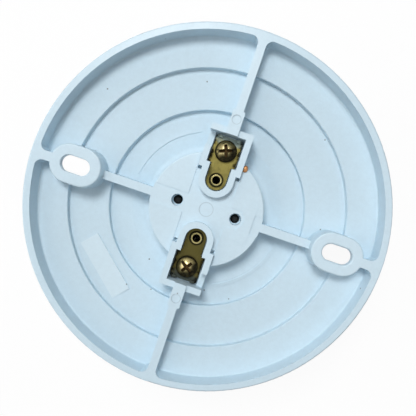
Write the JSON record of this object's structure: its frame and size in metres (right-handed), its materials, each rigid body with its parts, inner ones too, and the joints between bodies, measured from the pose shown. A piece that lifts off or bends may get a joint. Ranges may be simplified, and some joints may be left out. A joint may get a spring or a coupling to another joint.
{
  "type": "ceiling lampholder",
  "caption": "Round white moulded ceiling lampholder, open at the back, with slotted screw bosses, two brass screw terminals in walled pockets and a screw-in lamp socket on the front.",
  "frame": {"origin": "centre of the plane of the back rim, midway between the two mounting slots", "axes": "+Z out of the back, towards the ceiling; +X through the two slots; +Y towards the upper terminal"},
  "size_m": [0.1145, 0.1144, 0.04],
  "materials": {
    "white_plastic": "satin",
    "plate_brass": "dull",
    "screw_brass": "bright",
    "rivet_brass": "bright",
    "shell_metal": "nickel plated",
    "plated_steel": "zinc plated",
    "spring_brass": "rolled"
  },
  "bodies": {
    "holder": {"base": "white_plastic", "terminal_plate_upper": "plate_brass", "terminal_plate_lower": "plate_brass", "terminal_rivet_upper": "rivet_brass", "terminal_rivet_lower": "rivet_brass", "screw_shell": "shell_metal", "shell_screw_left": "plated_steel", "shell_screw_right": "plated_steel", "centre_contact": "spring_brass"},
    "upper_screw": {"terminal_screw_upper": "screw_brass"},
    "lower_screw": {"terminal_screw_lower": "screw_brass"}
  },
  "joints": [
    {"name": "upper_screw_turn", "type": "hinge", "parent": "holder", "child": "upper_screw", "pos_m": [0, 0.0194, -0.005], "axis": [0, 0, 1], "range_deg": [0, 1170]},
    {"name": "lower_screw_turn", "type": "hinge", "parent": "holder", "child": "lower_screw", "pos_m": [0, -0.0194, -0.005], "axis": [0, 0, 1], "range_deg": [0, 1170]}
  ]
}
